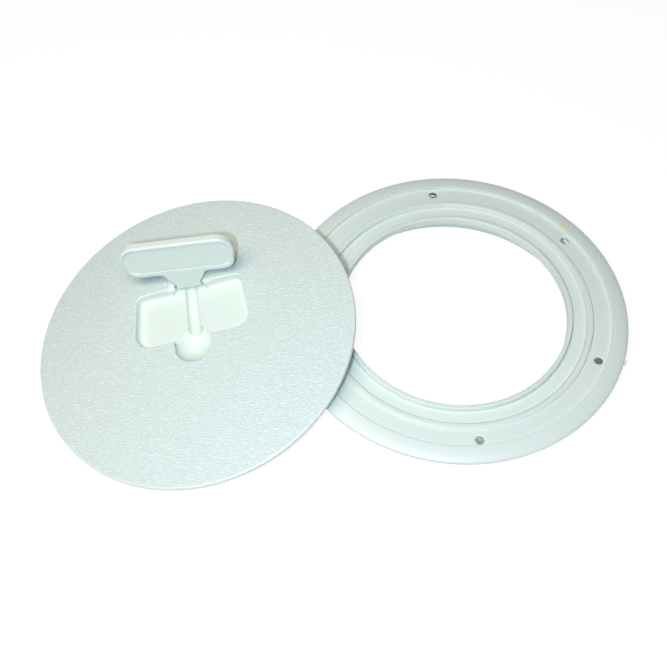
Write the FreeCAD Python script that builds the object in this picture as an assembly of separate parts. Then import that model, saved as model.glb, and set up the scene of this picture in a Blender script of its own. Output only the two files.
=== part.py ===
import FreeCAD, Part
import math
import os

os.makedirs("parts", exist_ok=True)
Vec = FreeCAD.Vector

# Ring, millimetres: Z = 0 is the underside of the rim, where it meets the deck
ring_outer_r = 105.0
ring_foot_r = 104.4
rim_crown_r = 98.8
rim_top_width = 3.7
rim_height = 5.2
rim_edge_height = 4.9
land_height = 3.2
bead_outer_r = 84.5
bead_inner_r = 80.1
bead_height = 4.4
channel_floor = 1.5
lip_outer_r = 72.2
lip_height = 4.4
opening_r = 68.8
seat_underside = -0.8
collar_outer_r = 83.8
collar_wall = 2.4
collar_depth = 19.4

# Screw holes in the ring
screw_count = 6
screw_circle_r = 90.8
screw_hole_r = 2.6
screw_edge_break = 0.5
screw_first_angle = 35.0

# Lid, in its own frame: Z = 0 is the top, +Y points from the finger well to the hinge
lid_r = 98.0
lid_thickness = 3.0
lid_edge_round = 1.2
plug_gap = 0.6
plug_wall = 2.2
plug_reach = 1.9
snap_catch = 0.5
pan_wall = 2.2
pan_edge_round = 2.3

# Recess in the lid, centred a little to the left as in the photo
recess_x = -1.0
recess_depth = 7.0
recess_floor_round = 3.0
recess_edge_round = 0.9
wing_half_length = 36.6
wing_top_half_length = 33.2
wing_top_y = 34.8
wing_bottom_y = -2.9
wing_top_round = 5.0
wing_bottom_round = 10.5
shoulder_round = 3.4
channel_half_width = 13.0
channel_corner_round = 2.4
channel_step = 1.2
seat_side_gap = 1.1
seat_mouth_gap = 2.2
seat_floor_round = 1.0
seat_corner_round = 1.6
well_y = -7.4
well_r = 12.0
well_slant = 4.3
well_depth = 13.0
groove_r = 4.1

# Handle and its hinge
handle_thickness = 5.5
handle_far_half_length = 36.2
handle_near_half_length = 32.0
handle_shift = -0.4
handle_far_gap = 2.1
handle_height = 27.0
handle_far_round = 10.5
handle_near_round = 7.5
handle_edge_round = 1.3
panel_depth = 0.7
panel_edge = 2.0
panel_near_edge = 3.6
neck_half_width = 7.9
neck_root_half_width = 13.8
neck_root_round = 2.5
neck_straight = 2.5
knuckle_end_round = 1.2
hinge_y = 39.0
hinge_skew = 5.0
handle_open_angle = 95.0
stop_gap = 0.4
pin_r = 1.5
pin_running_gap = 0.05
pin_grip = 5.0

# Seal ring: flat rubber, let into the underside of the lid over the ring's bead
seal_side = 0.6
seal_seat_depth = 1.4
seal_squeeze = 0.2

# How the lid lies: one side of its plug on the floor, the other on the ring's rim
lid_x = -157.4
lid_y = -20.3
lid_turn = 9.0
uphill_angle = 18.3
rest_gap = 0.2

# Small roundings of moulded edges
soft = 0.5


def outline(corners, upright=False):
    # Each corner is two coordinates and its rounding
    points = [Vec(c[0], 0, c[1]) if upright else Vec(c[0], c[1], 0) for c in corners]
    count = len(points)
    starts = []
    middles = []
    ends = []
    for i in range(count):
        back = points[i - 1] - points[i]
        ahead = points[(i + 1) % count] - points[i]
        back.normalize()
        ahead.normalize()
        half = back.getAngle(ahead) / 2
        radius = corners[i][2]
        inward = back + ahead
        inward.normalize()
        starts.append(points[i] + back * (radius / math.tan(half)))
        middles.append(points[i] + inward * (radius / math.sin(half) - radius))
        ends.append(points[i] + ahead * (radius / math.tan(half)))
    edges = []
    for i in range(count):
        if corners[i][2] > 0:
            edges.append(Part.Arc(starts[i], middles[i], ends[i]).toShape())
        following = starts[(i + 1) % count]
        if ends[i].distanceToPoint(following) > 1e-6:
            edges.append(Part.LineSegment(ends[i], following).toShape())
    return Part.Wire(edges)


def turned(corners):
    section = Part.Face(outline(corners, True))
    return section.revolve(Vec(0, 0, 0), Vec(0, 0, 1), 360)


def slab(corners, top, bottom):
    body = Part.Face(outline(corners)).extrude(Vec(0, 0, bottom - top))
    body.translate(Vec(0, 0, top))
    return body


def level_edges(shape, height):
    found = []
    for edge in shape.Edges:
        box = edge.BoundBox
        if abs(box.ZMin - height) < 1e-4 and abs(box.ZMax - height) < 1e-4:
            found.append(edge)
    return found


# Ring: rim, land with the screw holes, bead, channel, lip and collar in one moulding
collar_inner_r = collar_outer_r - collar_wall
rim_inner_r = rim_crown_r - rim_top_width
ring = turned([
    (ring_foot_r, 0, 2 * soft),
    (ring_outer_r, rim_height / 2, 2 * soft),
    (ring_outer_r, rim_edge_height, 4.4 * soft),
    (rim_crown_r, rim_height, 0),
    (rim_inner_r, rim_height, soft),
    (rim_inner_r, land_height, 0.5 * soft),
    (bead_outer_r, land_height, 0.5 * soft),
    (bead_outer_r - soft, bead_height, 2 * soft),
    (bead_inner_r + soft, bead_height, 2 * soft),
    (bead_inner_r, channel_floor, 0.8 * soft),
    (lip_outer_r, channel_floor, 0.8 * soft),
    (lip_outer_r - soft, lip_height, 1.6 * soft),
    (opening_r, lip_height, 1.6 * soft),
    (opening_r, seat_underside, 0.5 * soft),
    (collar_inner_r, seat_underside, 2 * soft),
    (collar_inner_r, -collar_depth, soft),
    (collar_outer_r, -collar_depth, soft),
    (collar_outer_r, 0, 0.5 * soft),
])
for i in range(screw_count):
    angle = math.radians(screw_first_angle + 360 / screw_count * i)
    foot = Vec(screw_circle_r * math.cos(angle), screw_circle_r * math.sin(angle), -1)
    hole = Part.makeCylinder(screw_hole_r, land_height + 2, foot)
    mouth = Vec(foot.x, foot.y, land_height - screw_edge_break)
    wide_r = screw_hole_r + 2 * screw_edge_break
    flare = Part.makeCone(screw_hole_r, wide_r, 2 * screw_edge_break, mouth)
    ring = ring.cut(hole.fuse(flare))

# Lid: disc, seal seat and plug with its snap ridge, all turned
plug_r = opening_r - plug_gap
plug_inner_r = plug_r - plug_wall
flange_below = lid_thickness + rim_height - seat_underside
plug_depth = flange_below + plug_reach
snap_r = opening_r + snap_catch
snap_top = flange_below + 0.2
seal_outer_r = bead_outer_r + seal_side
seal_inner_r = bead_inner_r - seal_side
seat_z = -lid_thickness + seal_seat_depth
lid = turned([
    (0, 0, 0),
    (lid_r, 0, lid_edge_round),
    (lid_r, -lid_thickness, soft),
    (seal_outer_r, -lid_thickness, 0),
    (seal_outer_r, seat_z, 0),
    (seal_inner_r, seat_z, 0),
    (seal_inner_r, -lid_thickness, 0),
    (plug_r, -lid_thickness, soft),
    (plug_r, -snap_top, 0),
    (snap_r, -snap_top - snap_catch - plug_gap, 0.4 * soft),
    (plug_r, -plug_depth, 0.6 * soft),
    (plug_inner_r, -plug_depth, 0.6 * soft),
    (plug_inner_r, -lid_thickness, soft),
    (0, -lid_thickness, 0),
])

# Recess outline: two wings and a shallow channel, its end parallel to the skewed pin
skew = math.radians(hinge_skew)
hinge_z = -recess_depth / 2
hinge_at = Vec(recess_x, hinge_y, hinge_z)
hinge_axis = Vec(math.cos(skew), -math.sin(skew), 0)
channel_end_y = hinge_y + handle_thickness / 2 + stop_gap
channel_rise = channel_half_width * math.tan(skew)
seat_half_width = neck_half_width + seat_side_gap
seat_rise = seat_half_width * math.tan(skew)


def recess_corners(grow):
    half = wing_half_length + grow
    top_half = wing_top_half_length + grow
    channel = channel_half_width + grow
    return [
        (recess_x - half, wing_bottom_y - grow, wing_bottom_round + grow),
        (recess_x + half, wing_bottom_y - grow, wing_bottom_round + grow),
        (recess_x + top_half, wing_top_y + grow, wing_top_round + grow),
        (recess_x + channel, wing_top_y + grow, shoulder_round - grow),
        (recess_x + channel, channel_end_y - channel_rise + grow, channel_corner_round + grow),
        (recess_x - channel, channel_end_y + channel_rise + grow, channel_corner_round + grow),
        (recess_x - channel, wing_top_y + grow, shoulder_round - grow),
        (recess_x - top_half, wing_top_y + grow, wing_top_round + grow),
    ]


def wing_corners():
    return [
        (recess_x - wing_half_length, wing_bottom_y, wing_bottom_round),
        (recess_x + wing_half_length, wing_bottom_y, wing_bottom_round),
        (recess_x + wing_top_half_length, wing_top_y, wing_top_round),
        (recess_x - wing_top_half_length, wing_top_y, wing_top_round),
    ]


def hinge_seat_corners():
    # Narrow deep part of the channel: it follows the neck of the folded handle
    inside_y = wing_top_y - 2 * recess_floor_round
    mouth_half = seat_half_width + seat_mouth_gap
    straight_y = hinge_y - neck_straight
    return [
        (recess_x - mouth_half, inside_y, 0),
        (recess_x + mouth_half, inside_y, 0),
        (recess_x + mouth_half, wing_top_y, 0),
        (recess_x + seat_half_width, straight_y, 0),
        (recess_x + seat_half_width, channel_end_y - seat_rise, seat_corner_round),
        (recess_x - seat_half_width, channel_end_y + seat_rise, seat_corner_round),
        (recess_x - seat_half_width, straight_y, 0),
        (recess_x - mouth_half, wing_top_y, 0),
    ]


def finger_well(grow, top):
    # A bore that slants in under the handle's edge and ends in a shallow bowl
    radius = well_r + grow
    slope = well_slant / recess_depth
    mouth = Part.makeCircle(radius, Vec(recess_x, well_y - slope * top, top))
    depth = recess_depth + top
    bore = Part.Face(Part.Wire(mouth)).extrude(Vec(0, slope * depth, -depth))
    bowl_depth = well_depth - recess_depth
    bowl_r = (well_r ** 2 + bowl_depth ** 2) / (2 * bowl_depth)
    ball = Part.makeSphere(bowl_r + grow, Vec(recess_x, well_y + well_slant, bowl_r - well_depth))
    below_floor = Part.makeBox(80, 120, 60, Vec(-40, -60, -recess_depth - 60))
    return bore.fuse(ball.common(below_floor))


def centre_groove(grow):
    radius = groove_r + grow
    end_y = hinge_y - handle_thickness / 2
    start = Vec(recess_x, well_y, -recess_depth)
    rod = Part.makeCylinder(radius, end_y - well_y, start, Vec(0, 1, 0))
    return rod.fuse(Part.makeSphere(radius, Vec(recess_x, end_y, -recess_depth)))


# Pan that forms the recess under the disc; beside the hinge it is solid and holds the pin
pan_bottom = -recess_depth - pan_wall
pan_top = -lid_thickness / 2
pan = slab(recess_corners(pan_wall), pan_top, pan_bottom)
pan = pan.makeFillet(pan_edge_round, level_edges(pan, pan_bottom))
above_floor = Part.makeBox(60, 120, 20, Vec(-30, -60, -recess_depth))
groove_pan = centre_groove(pan_wall).cut(above_floor)
lid = lid.fuse([pan, finger_well(pan_wall, pan_top), groove_pan])

# The recess itself: shallow step, wings, hinge seat, finger well and half-round groove
step = slab(recess_corners(0), 1, -channel_step)
wings = slab(wing_corners(), 1, -recess_depth)
wings = wings.makeFillet(recess_floor_round, level_edges(wings, -recess_depth))
hinge_seat = slab(hinge_seat_corners(), 1, -recess_depth)
seat_edges = [e for e in level_edges(hinge_seat, -recess_depth) if e.BoundBox.YMax > wing_top_y]
hinge_seat = hinge_seat.makeFillet(seat_floor_round, seat_edges)
lid = lid.cut(step.fuse([wings, hinge_seat, finger_well(0, 1), centre_groove(0)]))
lid = lid.removeSplitter()
mouth_edges = [e for e in level_edges(lid, 0) if e.BoundBox.DiagonalLength < lid_r]
lid = lid.makeFillet(recess_edge_round, mouth_edges)
bore_half = channel_half_width + pan_wall + 1
lid = lid.cut(Part.makeCylinder(pin_r, 2 * bore_half, hinge_at - hinge_axis * bore_half, hinge_axis))

# Handle, shaped as it lies folded in the recess, then swung open to its stop
grip_x = recess_x + handle_shift
grip_far_y = wing_bottom_y + handle_far_gap
grip_near_y = grip_far_y + handle_height
grip_top = hinge_z + handle_thickness / 2
grip_bottom = hinge_z - handle_thickness / 2
neck_foot_half_width = neck_half_width - knuckle_end_round
neck_rise = neck_foot_half_width * math.tan(skew)
handle = slab([
    (grip_x - handle_far_half_length, grip_far_y, handle_far_round),
    (grip_x + handle_far_half_length, grip_far_y, handle_far_round),
    (grip_x + handle_near_half_length, grip_near_y, handle_near_round),
    (recess_x + neck_root_half_width, grip_near_y, neck_root_round),
    (recess_x + neck_half_width, hinge_y - neck_straight, knuckle_end_round),
    (recess_x + neck_foot_half_width, hinge_y - neck_rise, 0),
    (recess_x - neck_foot_half_width, hinge_y + neck_rise, 0),
    (recess_x - neck_half_width, hinge_y - neck_straight, knuckle_end_round),
    (recess_x - neck_root_half_width, grip_near_y, neck_root_round),
    (grip_x - handle_near_half_length, grip_near_y, handle_near_round),
], grip_top, grip_bottom)
face_edges = level_edges(handle, grip_top) + level_edges(handle, grip_bottom)
soft_edges = [e for e in face_edges if e.BoundBox.YMin < hinge_y - neck_straight - knuckle_end_round]
handle = handle.makeFillet(handle_edge_round, soft_edges)

# Shallow panel with sloped sides in the underside of the grip
side_taper = (handle_far_half_length - handle_near_half_length) / handle_height
panel_near_y = grip_near_y - panel_near_edge
panel_half = handle_far_half_length - side_taper * (handle_height - panel_near_edge) - panel_edge
panel = slab([
    (grip_x - handle_far_half_length + panel_edge, grip_far_y + panel_edge, handle_far_round - panel_edge),
    (grip_x + handle_far_half_length - panel_edge, grip_far_y + panel_edge, handle_far_round - panel_edge),
    (grip_x + panel_half, panel_near_y, handle_near_round - panel_edge),
    (grip_x - panel_half, panel_near_y, handle_near_round - panel_edge),
], grip_bottom + panel_depth, grip_bottom - 1)
panel = panel.makeChamfer(0.9 * panel_depth, level_edges(panel, grip_bottom + panel_depth))
handle = handle.cut(panel)
knuckle_start = hinge_at - hinge_axis * neck_half_width
knuckle = Part.makeCylinder(handle_thickness / 2, 2 * neck_half_width, knuckle_start, hinge_axis)
knuckle = knuckle.makeFillet(knuckle_end_round, knuckle.Edges[:1] + knuckle.Edges[2:])
handle = handle.fuse(knuckle).removeSplitter()
handle_bore = Part.makeCylinder(pin_r + pin_running_gap, 60, hinge_at - hinge_axis * 30, hinge_axis)
handle = handle.cut(handle_bore)
handle.rotate(hinge_at, hinge_axis, -handle_open_angle)

# Hinge pin, a press fit in the pan on both sides of the hinge seat
pin_half = seat_half_width + pin_grip
pin = Part.makeCylinder(pin_r, 2 * pin_half, hinge_at - hinge_axis * pin_half, hinge_axis)
pin = pin.makeChamfer(0.3, pin.Edges[:1] + pin.Edges[2:])

# Seal ring: the bead of the ring presses into its face when the lid is on
seal_foot = lid_thickness + rim_height - bead_height + seal_squeeze
seal = turned([
    (seal_outer_r, seat_z, 0),
    (seal_outer_r, -seal_foot, soft),
    (seal_inner_r, -seal_foot, soft),
    (seal_inner_r, seat_z, 0),
])


def lying(lean):
    # Low side of the plug's foot just above the floor that the collar stands on
    tilt_axis = Vec(uphill.y, -uphill.x, 0)
    rise = plug_r * math.sin(lean) + plug_depth * math.cos(lean)
    height = -collar_depth + rest_gap + rise
    tilt = FreeCAD.Rotation(tilt_axis, math.degrees(lean))
    turn = FreeCAD.Rotation(Vec(0, 0, 1), lid_turn)
    return FreeCAD.Placement(Vec(lid_x, lid_y, height), tilt * turn)


def rim_gap(lean):
    # Least height of the plug's foot above the top of the rim, which falls outside its crown
    place = lying(lean)
    least = collar_depth
    fall = (rim_height - rim_edge_height) / (ring_outer_r - rim_crown_r)
    for step in range(720):
        angle = math.radians(step / 2)
        point = place.multVec(Vec(plug_r * math.cos(angle), plug_r * math.sin(angle), -plug_depth))
        from_axis = math.hypot(point.x, point.y)
        if from_axis < ring_outer_r - 2 * soft:
            top = rim_height - fall * max(0, from_axis - rim_crown_r)
            least = min(least, point.z - top)
    return least


# Lean of the lid, found by halving until the plug's foot just clears the rim
uphill = Vec(math.cos(math.radians(uphill_angle)), math.sin(math.radians(uphill_angle)), 0)
low_lean = 0.0
high_lean = math.radians(25)
for halving in range(30):
    middle_lean = (low_lean + high_lean) / 2
    if rim_gap(middle_lean) < rest_gap:
        low_lean = middle_lean
    else:
        high_lean = middle_lean
lie = lying(high_lean)

for name, shape in (("lid", lid), ("handle", handle), ("hinge_pin", pin), ("lid_seal", seal)):
    placed = shape.copy()
    placed.Placement = lie.multiply(placed.Placement)
    placed.exportStep("parts/" + name + ".step")
ring.exportStep("parts/deck_ring.step")
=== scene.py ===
import math

import bpy
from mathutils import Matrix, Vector


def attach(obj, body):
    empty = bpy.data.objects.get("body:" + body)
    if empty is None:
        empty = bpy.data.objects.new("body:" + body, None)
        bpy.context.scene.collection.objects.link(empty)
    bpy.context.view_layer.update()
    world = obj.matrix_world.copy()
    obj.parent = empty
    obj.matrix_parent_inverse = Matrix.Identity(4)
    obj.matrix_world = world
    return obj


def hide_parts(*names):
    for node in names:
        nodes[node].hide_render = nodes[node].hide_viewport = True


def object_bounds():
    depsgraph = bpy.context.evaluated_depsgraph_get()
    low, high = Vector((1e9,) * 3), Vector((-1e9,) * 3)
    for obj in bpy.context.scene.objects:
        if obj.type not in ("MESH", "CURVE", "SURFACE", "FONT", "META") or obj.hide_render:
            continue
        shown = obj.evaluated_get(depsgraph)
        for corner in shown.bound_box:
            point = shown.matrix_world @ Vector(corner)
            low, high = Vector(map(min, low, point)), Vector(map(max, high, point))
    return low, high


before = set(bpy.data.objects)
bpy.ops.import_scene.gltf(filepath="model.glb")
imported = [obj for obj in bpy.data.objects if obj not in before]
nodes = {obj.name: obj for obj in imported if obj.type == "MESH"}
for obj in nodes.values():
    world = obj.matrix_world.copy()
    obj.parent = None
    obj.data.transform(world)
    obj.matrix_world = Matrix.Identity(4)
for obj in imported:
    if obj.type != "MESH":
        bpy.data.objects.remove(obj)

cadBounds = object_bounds()
print("frame loaded:", sorted(nodes))


# Colours

def srgbToLinear(hexColour):
    values = []
    for start in (0, 2, 4):
        part = int(hexColour[start:start + 2], 16) / 255
        values.append(part / 12.92 if part <= 0.04045 else ((part + 0.055) / 1.055) ** 2.4)
    return (values[0], values[1], values[2], 1.0)


# Materials

def addNode(tree, kind, settings=None, links=None):
    node = tree.nodes.new(kind)
    for name, value in (settings or {}).items():
        if isinstance(name, str) and hasattr(node, name) and name not in node.inputs:
            setattr(node, name, value)
        else:
            node.inputs[name].default_value = value
    for name, source in (links or {}).items():
        tree.links.new(source, node.inputs[name])
    return node


def newMaterial(name):
    material = bpy.data.materials.new(name)
    material.use_nodes = True
    tree = material.node_tree
    tree.nodes.clear()
    output = addNode(tree, "ShaderNodeOutputMaterial")
    shader = addNode(tree, "ShaderNodeBsdfPrincipled")
    tree.links.new(shader.outputs["BSDF"], output.inputs["Surface"])
    return material, tree, shader


glossyAbs = {
    "colour": "dbe9e4",
    "yellowed": "dfe9dd",    # where handling and sun have warmed the white a little
    "blotchSize": 0.045,     # metres across a warmer or cooler patch
    "roughness": (0.30, 0.40),
    "ringRoughness": (0.40, 0.48),  # the ring is duller, so that its rim has no hard glint
    "waveSize": 0.011,       # sink and flow waves left by the mould
    "waveDepth": 0.00005,
}

ringStains = {
    "colour": "e0dca8",
    "spots": (((0.0748, 0.0618, 0.0050), 0.0052, 0.55), ((0.0640, 0.0505, 0.0040), 0.0034, 0.3)),
    "breakUp": 0.0022,       # metres between the stain's patches
    "raggedness": 1.3,       # how far the edge wanders, in sizes of the spot
    "core": 0.2,             # share of the spot that has its full strength
}


def addStain(tree, place, colour, spot):
    # A soft round patch whose edge is broken up by noise
    centre, size, strength = spot
    wander = ringStains["raggedness"] * size
    fromCentre = addNode(tree, "ShaderNodeVectorMath", {"operation": "DISTANCE", 1: centre},
                         {0: place.outputs["Object"]})
    ragged = addNode(tree, "ShaderNodeTexNoise", {"Scale": 1 / ringStains["breakUp"], "Detail": 2.0},
                     {"Vector": place.outputs["Object"]})
    wide = addNode(tree, "ShaderNodeMath", {"operation": "MULTIPLY_ADD", 1: -wander, 2: 0.5 * wander},
                   {0: ragged.outputs["Fac"]})
    reach = addNode(tree, "ShaderNodeMath", {"operation": "ADD"},
                    {0: fromCentre.outputs["Value"], 1: wide.outputs[0]})
    fade = addNode(tree, "ShaderNodeMapRange",
                   {"interpolation_type": "SMOOTHSTEP", "From Min": ringStains["core"] * size,
                    "From Max": size, "To Min": strength, "To Max": 0.0},
                   {"Value": reach.outputs[0]})
    stained = addNode(tree, "ShaderNodeMix", {"data_type": "RGBA", 7: srgbToLinear(ringStains["colour"])},
                      {"Factor": fade.outputs["Result"], 6: colour})
    return stained.outputs[2]


def makeGlossyAbs(name, spots, roughness):
    # White ABS with no grain: nearly even colour, and a soft broad sheen that wavers a little
    material, tree, shader = newMaterial(name)
    shader.inputs["IOR"].default_value = 1.53
    place = addNode(tree, "ShaderNodeTexCoord")
    blotches = addNode(tree, "ShaderNodeTexNoise", {"Scale": 1 / glossyAbs["blotchSize"], "Detail": 3.0},
                       {"Vector": place.outputs["Object"]})
    tint = addNode(tree, "ShaderNodeMix",
                   {"data_type": "RGBA", 6: srgbToLinear(glossyAbs["colour"]),
                    7: srgbToLinear(glossyAbs["yellowed"])},
                   {"Factor": blotches.outputs["Fac"]})
    colour = tint.outputs[2]
    for spot in spots:
        colour = addStain(tree, place, colour, spot)
    tree.links.new(colour, shader.inputs["Base Color"])
    low, high = roughness
    polish = addNode(tree, "ShaderNodeMapRange", {"To Min": low, "To Max": high},
                     {"Value": blotches.outputs["Fac"]})
    tree.links.new(polish.outputs["Result"], shader.inputs["Roughness"])
    waves = addNode(tree, "ShaderNodeTexNoise", {"Scale": 1 / glossyAbs["waveSize"], "Detail": 1.0},
                    {"Vector": place.outputs["Object"]})
    bump = addNode(tree, "ShaderNodeBump", {"Strength": 1.0, "Distance": glossyAbs["waveDepth"]},
                   {"Height": waves.outputs["Fac"]})
    tree.links.new(bump.outputs["Normal"], shader.inputs["Normal"])
    return material


grainedAbs = {
    "colour": "dbe9e4",
    "creaseShade": "cedcd7",      # painted shade: the creases between the wrinkles are a little darker
    "roughness": 0.46,
    "wrinkleSize": 0.0012,   # a little coarser than the real grain, a guess of 1 mm, so that it shows
    "wrinkleStretch": 4.5,   # wrinkles run across the lid, not along the handle's neck
    "wander": 0.0030,        # a wrinkle leaves a straight line by about a third of this
    "bends": 0.22,           # bends of a wrinkle for each width of it
    "roundedEdge": 0.32,     # how much of a wrinkle slopes down to its creases
    "grainDepth": 0.00013,
    "turn": 9.0,             # the lid's turn on the floor in degrees
}


def makeGrainedAbs():
    # White ABS from an etched mould: long flat leather wrinkles with fine creases, which break up the sheen
    material, tree, shader = newMaterial("moulded white ABS, leather grain")
    shader.inputs["IOR"].default_value = 1.53
    shader.inputs["Roughness"].default_value = grainedAbs["roughness"]
    place = addNode(tree, "ShaderNodeTexCoord")
    wander = addNode(tree, "ShaderNodeTexNoise",
                     {"Scale": grainedAbs["bends"] / grainedAbs["wrinkleSize"], "Detail": 2.0},
                     {"Vector": place.outputs["Object"]})
    shift = addNode(tree, "ShaderNodeVectorMath", {"operation": "SCALE", "Scale": grainedAbs["wander"]},
                    {"Vector": wander.outputs["Color"]})
    bent = addNode(tree, "ShaderNodeVectorMath", {"operation": "ADD"},
                   {0: place.outputs["Object"], 1: shift.outputs[0]})
    stretch = addNode(tree, "ShaderNodeMapping",
                      {"Rotation": (0, 0, math.radians(-grainedAbs["turn"])),
                       "Scale": (1 / grainedAbs["wrinkleStretch"], 1, 1)},
                      {"Vector": bent.outputs[0]})
    wrinkles = addNode(tree, "ShaderNodeTexVoronoi",
                      {"feature": "DISTANCE_TO_EDGE", "Scale": 1 / grainedAbs["wrinkleSize"]},
                      {"Vector": stretch.outputs["Vector"]})
    rounding = addNode(tree, "ShaderNodeMapRange",
                       {"interpolation_type": "SMOOTHSTEP", "From Min": 0.0,
                        "From Max": grainedAbs["roundedEdge"]},
                       {"Value": wrinkles.outputs["Distance"]})
    # Painted shade: the creases are tinted darker than the wrinkles' tops
    tint = addNode(tree, "ShaderNodeMix",
                   {"data_type": "RGBA", 6: srgbToLinear(grainedAbs["creaseShade"]),
                    7: srgbToLinear(grainedAbs["colour"])},
                   {"Factor": rounding.outputs["Result"]})
    tree.links.new(tint.outputs[2], shader.inputs["Base Color"])
    bump = addNode(tree, "ShaderNodeBump", {"Strength": 1.0, "Distance": grainedAbs["grainDepth"]},
                   {"Height": rounding.outputs["Result"]})
    tree.links.new(bump.outputs["Normal"], shader.inputs["Normal"])
    return material


def makeGroundSteel():
    # Stainless pin, centreless ground: fine bright metal
    material, tree, shader = newMaterial("stainless steel, ground")
    shader.inputs["Base Color"].default_value = srgbToLinear("b9b8b4")
    shader.inputs["Metallic"].default_value = 1.0
    shader.inputs["Roughness"].default_value = 0.28
    return material


def makeSealRubber():
    # Moulded nitrile rubber: black, dull, slightly dusty
    material, tree, shader = newMaterial("moulded nitrile rubber, matte")
    shader.inputs["Base Color"].default_value = srgbToLinear("232425")
    shader.inputs["Roughness"].default_value = 0.8
    shader.inputs["IOR"].default_value = 1.52
    return material


materials = {
    "smooth": makeGlossyAbs("moulded white ABS, polished mould", (), glossyAbs["roughness"]),
    "ring": makeGlossyAbs("moulded white ABS, satin mould, with yellow stains", ringStains["spots"],
                          glossyAbs["ringRoughness"]),
    "grained": makeGrainedAbs(),
    "steel": makeGroundSteel(),
    "rubber": makeSealRubber(),
}
print("materials made:", len(materials))


# Pieces

meshCare = {
    "mergeWithin": 0.000002,
    "smoothAngle": 32,       # degrees; sharper edges stay sharp
    "flatWeight": 60,
}


def selectOnly(piece):
    bpy.ops.object.select_all(action="DESELECT")
    piece.select_set(True)
    bpy.context.view_layer.objects.active = piece


def copyNode(nodeName, pieceName):
    # The CAD mesh is loose triangles, so the copy is merged before it is shaped or smoothed
    source = nodes[nodeName]
    piece = source.copy()
    piece.data = source.data.copy()
    piece.name = pieceName
    piece.parent = None
    for key in list(piece.keys()):
        del piece[key]
    bpy.context.scene.collection.objects.link(piece)
    selectOnly(piece)
    bpy.ops.object.mode_set(mode="EDIT")
    bpy.ops.mesh.select_all(action="SELECT")
    bpy.ops.mesh.remove_doubles(threshold=meshCare["mergeWithin"])
    bpy.ops.mesh.normals_make_consistent(inside=False)
    bpy.ops.object.mode_set(mode="OBJECT")
    piece.data.materials.clear()
    return piece


def finishPiece(piece, body, surfaces):
    selectOnly(piece)
    bpy.ops.object.shade_smooth_by_angle(angle=math.radians(meshCare["smoothAngle"]))
    weights = piece.modifiers.new("flat faces stay flat", "WEIGHTED_NORMAL")
    weights.keep_sharp = True
    weights.weight = meshCare["flatWeight"]
    bpy.ops.object.modifier_apply(modifier=weights.name)
    for surface in surfaces:
        piece.data.materials.append(materials[surface])
    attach(piece, body)


rimShape = {
    "inner": 0.0960,         # the rounding starts beside the rim's inner edge
    "outer": 0.1050,
    "top": 0.0052,
    "side": 0.0028,          # height at which the side goes straight down
    "roll": 1.5,             # 2 would be an ellipse, less starts to fall sooner
    "bands": ((0.0956, 0.0988, 2), (0.0988, 0.10291, 4)),  # inner and outer radius, cuts
    "bandLowest": 0.0045,    # only the rim's top is cut, not its foot
    "bandMatch": 0.00006,
}


def cutBand(piece, inner, outer, cuts):
    # Cuts each edge that runs between two rings of points round the opening
    selectOnly(piece)
    bpy.ops.object.mode_set(mode="EDIT")
    bpy.ops.mesh.select_mode(type="EDGE")
    bpy.ops.mesh.select_all(action="DESELECT")
    bpy.ops.object.mode_set(mode="OBJECT")
    match = rimShape["bandMatch"]
    points = piece.data.vertices
    for edge in piece.data.edges:
        first, second = (points[index].co for index in edge.vertices)
        reach = sorted((first.xy.length, second.xy.length))
        across = abs(reach[0] - inner) < match and abs(reach[1] - outer) < match
        if across and min(first.z, second.z) > rimShape["bandLowest"]:
            edge.select = True
    bpy.ops.object.mode_set(mode="EDIT")
    bpy.ops.mesh.subdivide(number_cuts=cuts)
    bpy.ops.object.mode_set(mode="OBJECT")


def roundRim(piece):
    # The rim rolls off outwards as one soft curve
    for inner, outer, cuts in rimShape["bands"]:
        cutBand(piece, inner, outer, cuts)
    width = rimShape["outer"] - rimShape["inner"]
    drop = rimShape["top"] - rimShape["side"]
    for point in piece.data.vertices:
        out = (point.co.xy.length - rimShape["inner"]) / width
        if out > 0 and point.co.z > rimShape["side"]:
            point.co.z = rimShape["side"] + drop * math.sqrt(max(0, 1 - out ** rimShape["roll"]))


ringPiece = copyNode("deck_ring", "ringMoulding")
roundRim(ringPiece)
finishPiece(ringPiece, "plate", ("ring",))
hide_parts("deck_ring")

lidPiece = copyNode("lid", "lidMoulding")
finishPiece(lidPiece, "plate", ("smooth", "grained"))
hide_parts("lid")

handlePiece = copyNode("handle", "handleMoulding")
finishPiece(handlePiece, "handle", ("smooth",))
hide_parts("handle")


gateNub = {
    "turn": -22.0,           # degrees round the ring
    "reach": 0.1053,
    "height": 0.0021,
    "size": (0.0018, 0.0030, 0.0016),
    "edgeRound": 0.00035,
}


def makeGateNub():
    # The stub left on the rim where the ring was cut from its mould's runner
    bpy.ops.object.select_all(action="DESELECT")
    bpy.ops.mesh.primitive_cube_add(size=1, location=(gateNub["reach"], 0, gateNub["height"]))
    nub = bpy.context.active_object
    nub.name = "gateStub"
    bpy.ops.transform.resize(value=gateNub["size"])
    bpy.ops.object.transform_apply(location=True, rotation=True, scale=True)
    bpy.ops.object.mode_set(mode="EDIT")
    bpy.ops.mesh.select_all(action="SELECT")
    bpy.ops.mesh.bevel(offset=gateNub["edgeRound"], segments=3, affect="EDGES")
    bpy.ops.object.mode_set(mode="OBJECT")
    nub.rotation_euler = (0, 0, math.radians(gateNub["turn"]))
    bpy.ops.object.transform_apply(location=True, rotation=True, scale=True)
    finishPiece(nub, "plate", ("ring",))


makeGateNub()

nodes["hinge_pin"].data.materials.clear()
nodes["hinge_pin"].data.materials.append(materials["steel"])
nodes["lid_seal"].data.materials.clear()
nodes["lid_seal"].data.materials.append(materials["rubber"])
print("pieces made")


# Grain only on the lid's flat top, which stops at the recess

lidPlane = {
    "centre": (-0.1574, -0.0203, 0.005298),
    "normal": (-0.192446, -0.063645, 0.979241),
    "within": 0.00003,       # metres a face may lie off the plane
    "facing": 0.99,
}


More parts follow.
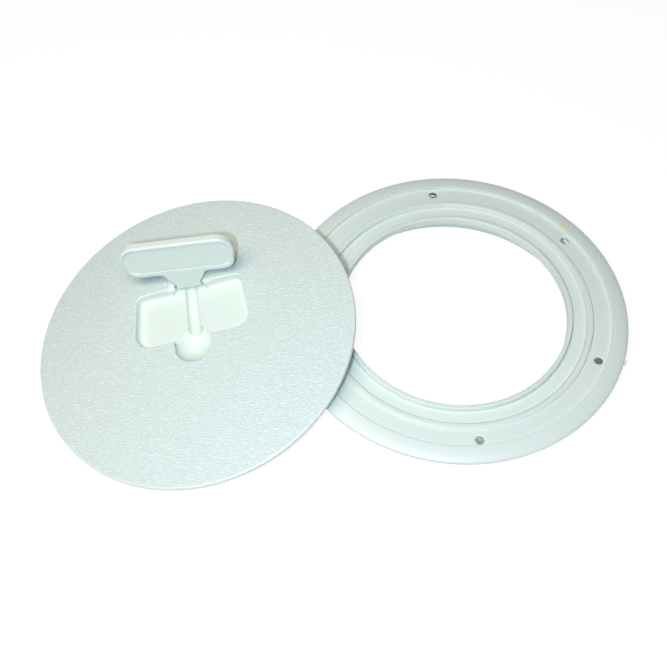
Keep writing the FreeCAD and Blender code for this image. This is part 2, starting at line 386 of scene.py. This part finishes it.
def grainLidTop():
    centre = Vector(lidPlane["centre"])
    normal = Vector(lidPlane["normal"])
    grained = 0
    for face in lidPiece.data.polygons:
        depth = (face.center - centre).dot(normal)
        if abs(depth) < lidPlane["within"] and face.normal.dot(normal) > lidPlane["facing"]:
            face.material_index = 1
            grained += 1
    print("grained faces:", grained)


grainLidTop()


# Floor, light and camera

studio = {
    "floorColour": "f4f4f4",
    "floorSeen": 0.18,       # grey that the camera sees under the glow, so that a soft shadow stays
    "floorGlow": 0.90,       # 1 would be white by itself
    "floorSize": 6,
    "paintedShadowGlow": 0.12,       # painted shadow: under the flange the floor's glow drops to this and the floor stays dark, so that the screw holes look dark
    "paintedShadowInner": (0.0826, 0.0832),  # radii from the ring's axis between which the painted shadow starts
    "paintedShadowOuter": (0.1, 0.1025),     # radii between which it ends, round a point shifted away
    "paintedShadowShift": 0.008,
    "worldColour": "f4fbff",
    "worldStrength": 0.05,
    "overheadPlace": (-0.15, -0.37, 0.93),
    "overheadSize": 0.45,
    "overheadPower": 4.55,
    "overheadColour": (1.0, 0.94, 0.89),
    "flashPlace": (-0.129, -0.347, 0.465),  # beside the lens: thin hard shadows to the right
    "flashSize": 0.025,
    "flashPower": 1.80,
    "flashColour": (0.58, 0.76, 1.0),
    "leftPlace": (-0.32, -0.12, 0.45),
    "leftSize": 0.20,
    "leftPower": 0.52,
    "leftColour": (1.0, 0.73, 0.44),
    "sidePlace": (-0.40, -0.25, 0.90),
    "sideSize": 0.35,
    "sidePower": 0.75,
    "sideColour": (1.0, 0.88, 0.76),
    "aim": (-0.08, 0, 0),    # all lamps point here
}


def makeFloor():
    bpy.ops.object.select_all(action="DESELECT")
    low = min(cadBounds[0][2], cadBounds[1][2])
    bpy.ops.mesh.primitive_plane_add(size=studio["floorSize"], location=(0, 0, low))
    floor = bpy.context.active_object
    bpy.ops.object.transform_apply(location=True)
    floor.name = "studioFloor"
    material = bpy.data.materials.new("white paper floor")
    material.use_nodes = True
    tree = material.node_tree
    tree.nodes.clear()
    output = addNode(tree, "ShaderNodeOutputMaterial")
    paper = addNode(tree, "ShaderNodeBsdfDiffuse", {"Color": srgbToLinear(studio["floorColour"])})
    grey = (studio["floorSeen"], studio["floorSeen"], studio["floorSeen"], 1)
    shaded = addNode(tree, "ShaderNodeBsdfDiffuse", {"Color": grey})
    place = addNode(tree, "ShaderNodeTexCoord")
    # Painted shadow: in a ring of floor under the flange the glow is turned down, in place of the flange's
    # shade
    fromRing = addNode(tree, "ShaderNodeVectorMath", {"operation": "DISTANCE", 1: (0, 0, low)},
                       {0: place.outputs["Object"]})
    shifted = (0, studio["paintedShadowShift"], low)
    fromShifted = addNode(tree, "ShaderNodeVectorMath", {"operation": "DISTANCE", 1: shifted},
                          {0: place.outputs["Object"]})
    start, full = studio["paintedShadowInner"]
    outside = addNode(tree, "ShaderNodeMapRange", {"From Min": start, "From Max": full},
                      {"Value": fromRing.outputs["Value"]})
    last, end = studio["paintedShadowOuter"]
    within = addNode(tree, "ShaderNodeMapRange",
                     {"From Min": last, "From Max": end, "To Min": 1.0, "To Max": 0.0},
                     {"Value": fromShifted.outputs["Value"]})
    under = addNode(tree, "ShaderNodeMath", {"operation": "MULTIPLY"},
                    {0: outside.outputs["Result"], 1: within.outputs["Result"]})
    level = addNode(tree, "ShaderNodeMapRange",
                    {"To Min": studio["floorGlow"], "To Max": studio["paintedShadowGlow"]},
                    {"Value": under.outputs[0]})
    glow = addNode(tree, "ShaderNodeEmission", {"Color": (1, 1, 1, 1)},
                   {"Strength": level.outputs["Result"]})
    white = addNode(tree, "ShaderNodeAddShader", {}, {0: shaded.outputs[0], 1: glow.outputs[0]})
    ray = addNode(tree, "ShaderNodeLightPath")
    seen = addNode(tree, "ShaderNodeMath", {"operation": "MAXIMUM"},
                   {0: ray.outputs["Is Camera Ray"], 1: ray.outputs["Is Glossy Ray"]})
    mix = addNode(tree, "ShaderNodeMixShader", {},
                  {0: seen.outputs[0], 1: paper.outputs[0], 2: white.outputs[0]})
    tree.links.new(mix.outputs[0], output.inputs["Surface"])
    floor.data.materials.append(material)


def addSoftbox(which):
    data = bpy.data.lights.new(which + " softbox", "AREA")
    data.shape = "DISK"
    data.size = studio[which + "Size"]
    data.energy = studio[which + "Power"]
    data.color = studio[which + "Colour"]
    lamp = bpy.data.objects.new(which + " softbox", data)
    lamp.location = studio[which + "Place"]
    sight = Vector(studio["aim"]) - lamp.location
    lamp.rotation_euler = sight.to_track_quat("-Z", "Y").to_euler()
    bpy.context.scene.collection.objects.link(lamp)


def makeWorld():
    # Faint light all round, and white where the camera or a reflection looks past the floor
    world = bpy.data.worlds.new("studio world")
    world.use_nodes = True
    tree = world.node_tree
    tree.nodes.clear()
    output = addNode(tree, "ShaderNodeOutputWorld")
    faint = addNode(tree, "ShaderNodeBackground",
                    {"Color": srgbToLinear(studio["worldColour"]), "Strength": studio["worldStrength"]})
    white = addNode(tree, "ShaderNodeBackground", {"Color": (1, 1, 1, 1), "Strength": 1.0})
    ray = addNode(tree, "ShaderNodeLightPath")
    seen = addNode(tree, "ShaderNodeMath", {"operation": "MAXIMUM"},
                   {0: ray.outputs["Is Camera Ray"], 1: ray.outputs["Is Glossy Ray"]})
    mix = addNode(tree, "ShaderNodeMixShader", {},
                  {0: seen.outputs[0], 1: faint.outputs[0], 2: white.outputs[0]})
    tree.links.new(mix.outputs[0], output.inputs["Surface"])
    bpy.context.scene.world = world


cameraSet = {
    "place": (-0.0740, -0.3298, 0.4790),
    "elevation": 56.89,
    "lens": 51.08,
}


def makeCamera():
    data = bpy.data.cameras.new("photo camera")
    data.sensor_width = 36
    data.lens = cameraSet["lens"]
    data.clip_start = 0.01
    camera = bpy.data.objects.new("photo camera", data)
    camera.location = cameraSet["place"]
    camera.rotation_euler = (math.radians(90 - cameraSet["elevation"]), 0, 0)
    bpy.context.scene.collection.objects.link(camera)
    bpy.context.scene.camera = camera


makeFloor()
makeWorld()
for which in ("overhead", "flash", "left", "side"):
    addSoftbox(which)
makeCamera()
bpy.context.scene.view_settings.view_transform = "Standard"
print("studio ready")
